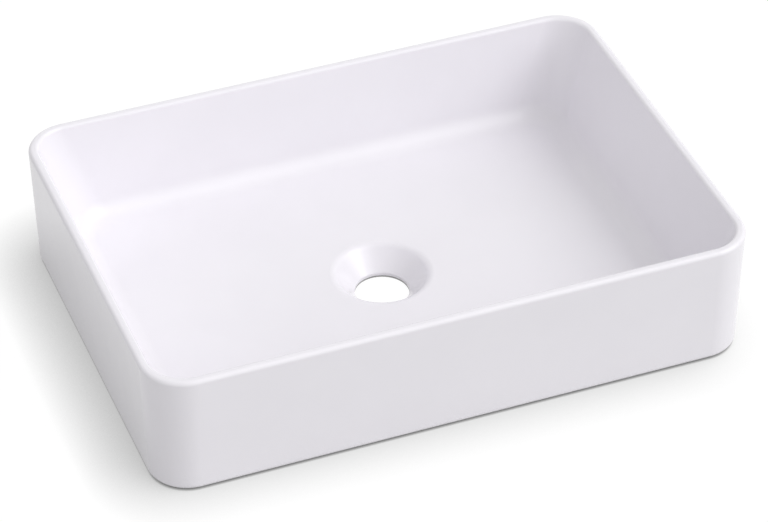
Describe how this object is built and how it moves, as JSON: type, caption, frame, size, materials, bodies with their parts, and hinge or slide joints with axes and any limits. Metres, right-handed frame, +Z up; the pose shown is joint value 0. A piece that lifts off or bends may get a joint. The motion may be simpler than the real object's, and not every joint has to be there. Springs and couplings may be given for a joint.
{
  "type": "countertop basin",
  "caption": "Rectangular ceramic countertop basin with a slim rounded rim, flat floor, funnel to an open drain hole, hollow underside and thin foot pads.",
  "frame": {"origin": "On the counter, under the middle of the basin and on the axis of the drain hole.", "axes": "+X along the long side to the right, +Y to the back, +Z up and out of the bowl."},
  "size_m": [0.5, 0.354, 0.11],
  "materials": {
    "glaze": "gloss",
    "pads": "satin"
  },
  "bodies": {
    "root": {"basin_body": "glaze", "foot_pads": "pads"}
  },
  "joints": []
}
